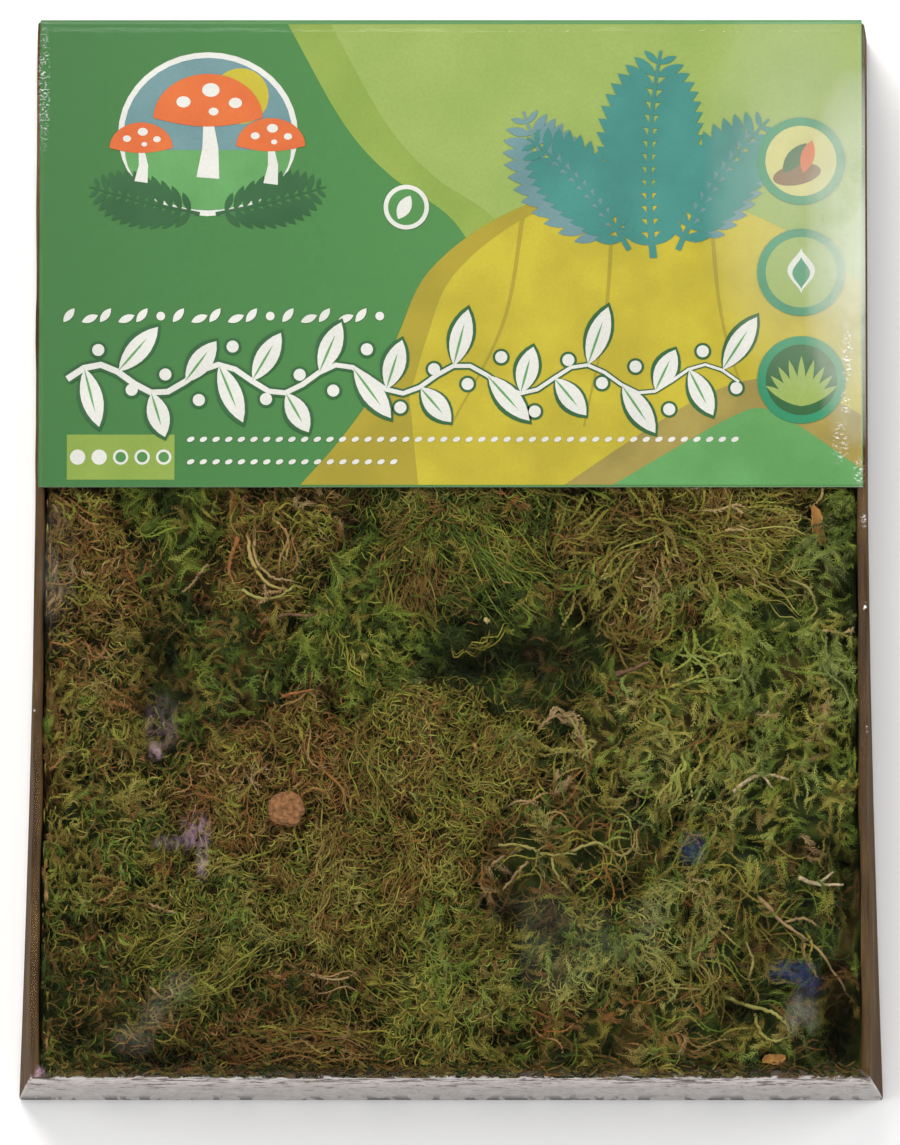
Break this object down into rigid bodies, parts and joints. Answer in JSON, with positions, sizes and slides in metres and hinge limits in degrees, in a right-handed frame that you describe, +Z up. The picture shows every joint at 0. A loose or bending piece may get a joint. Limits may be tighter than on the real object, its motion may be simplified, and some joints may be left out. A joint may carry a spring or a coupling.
{
  "type": "packaged terrarium moss tray",
  "caption": "Shallow card tray filled with dried moss tufts, under a printed header card and closed in clear shrink film, lying on its back.",
  "frame": {"origin": "on the underside of the pack, under the middle of its bounding box", "axes": "+Z up out of the moss, +Y along the pack's length towards the header card's folded end, +X across the pack to the right as the picture shows it"},
  "size_m": [0.215, 0.269, 0.04],
  "materials": {
    "tray_board": "matte",
    "clear_film": "gloss",
    "printed_card": "satin",
    "bark": "matte",
    "dry_leaf": "matte",
    "brown_twig": "matte",
    "orange_stem": "matte",
    "pale_twig": "matte",
    "rusty_moss": "matte",
    "feather_moss": "matte",
    "hair_moss": "matte",
    "cord_moss": "matte",
    "curly_moss": "matte",
    "stem_moss": "matte",
    "branch_moss": "matte"
  },
  "bodies": {
    "root": {"bark_chip": "bark", "branch_moss_22": "branch_moss", "brown_twig": "brown_twig", "cord_moss_06": "cord_moss", "curly_moss_17": "curly_moss", "curly_moss_18": "curly_moss", "curly_moss_23": "curly_moss", "curved_stem": "orange_stem", "feather_moss_02": "feather_moss", "feather_moss_04": "feather_moss", "feather_moss_08": "feather_moss", "feather_moss_09": "feather_moss", "feather_moss_10": "feather_moss", "feather_moss_11": "feather_moss", "feather_moss_14": "feather_moss", "feather_moss_15": "feather_moss", "feather_moss_21": "feather_moss", "feather_moss_25": "feather_moss", "feather_moss_27": "feather_moss", "film": "clear_film", "hair_moss_05": "hair_moss", "hair_moss_07": "hair_moss", "hair_moss_13": "hair_moss", "hair_moss_19": "hair_moss", "header_card": "printed_card", "hidden_moss_28": "feather_moss", "hidden_moss_29": "feather_moss", "hidden_moss_30": "feather_moss", "hidden_moss_31": "feather_moss", "hollow_moss_12": "feather_moss", "leaf_scrap_far": "dry_leaf", "leaf_scrap_near": "dry_leaf", "pale_branch": "pale_twig", "pale_root": "pale_twig", "reddish_twig": "brown_twig", "rooty_moss_03": "rusty_moss", "rust_moss_01": "rusty_moss", "rust_moss_16": "rusty_moss", "short_twig": "brown_twig", "stem_moss_20": "stem_moss", "stem_moss_24": "stem_moss", "stem_moss_26": "stem_moss", "tray": "tray_board"}
  },
  "joints": []
}
